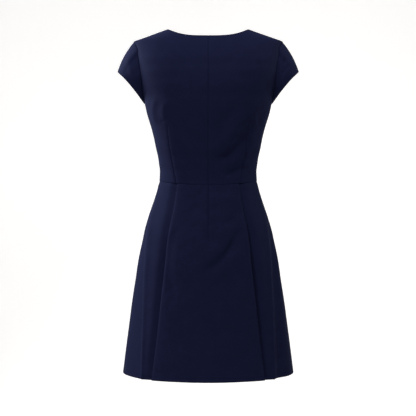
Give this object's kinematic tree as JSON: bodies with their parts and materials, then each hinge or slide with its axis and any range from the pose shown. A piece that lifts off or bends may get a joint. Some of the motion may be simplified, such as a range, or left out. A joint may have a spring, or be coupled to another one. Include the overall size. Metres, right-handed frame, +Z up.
{
  "type": "a-line dress",
  "caption": "Short a-line dress in worn shape, hollow, with cap sleeves, waist seam, darts, back zip and knife pleats in the skirt.",
  "frame": {"origin": "midway between the two shoulder seams, where the wearer's shoulders hold the dress", "axes": "+Z up; the wearer faces +Y, so the back with its zip faces -Y; the wearer's right is +X"},
  "size_m": [0.4752, 0.353, 0.8942],
  "materials": {
    "bodice_cloth": "matt navy crepe with a soft sheen",
    "sleeve_cloth": "matt navy crepe with a soft sheen",
    "skirt_cloth": "matt navy crepe with a soft sheen",
    "zip_tape": "plain woven navy tape"
  },
  "bodies": {
    "root": {"back_bodice_left": "bodice_cloth", "back_bodice_right": "bodice_cloth", "front_bodice": "bodice_cloth", "sleeve_left": "sleeve_cloth", "sleeve_right": "sleeve_cloth", "skirt_back": "skirt_cloth", "skirt_front": "skirt_cloth", "zip": "zip_tape"}
  },
  "joints": []
}
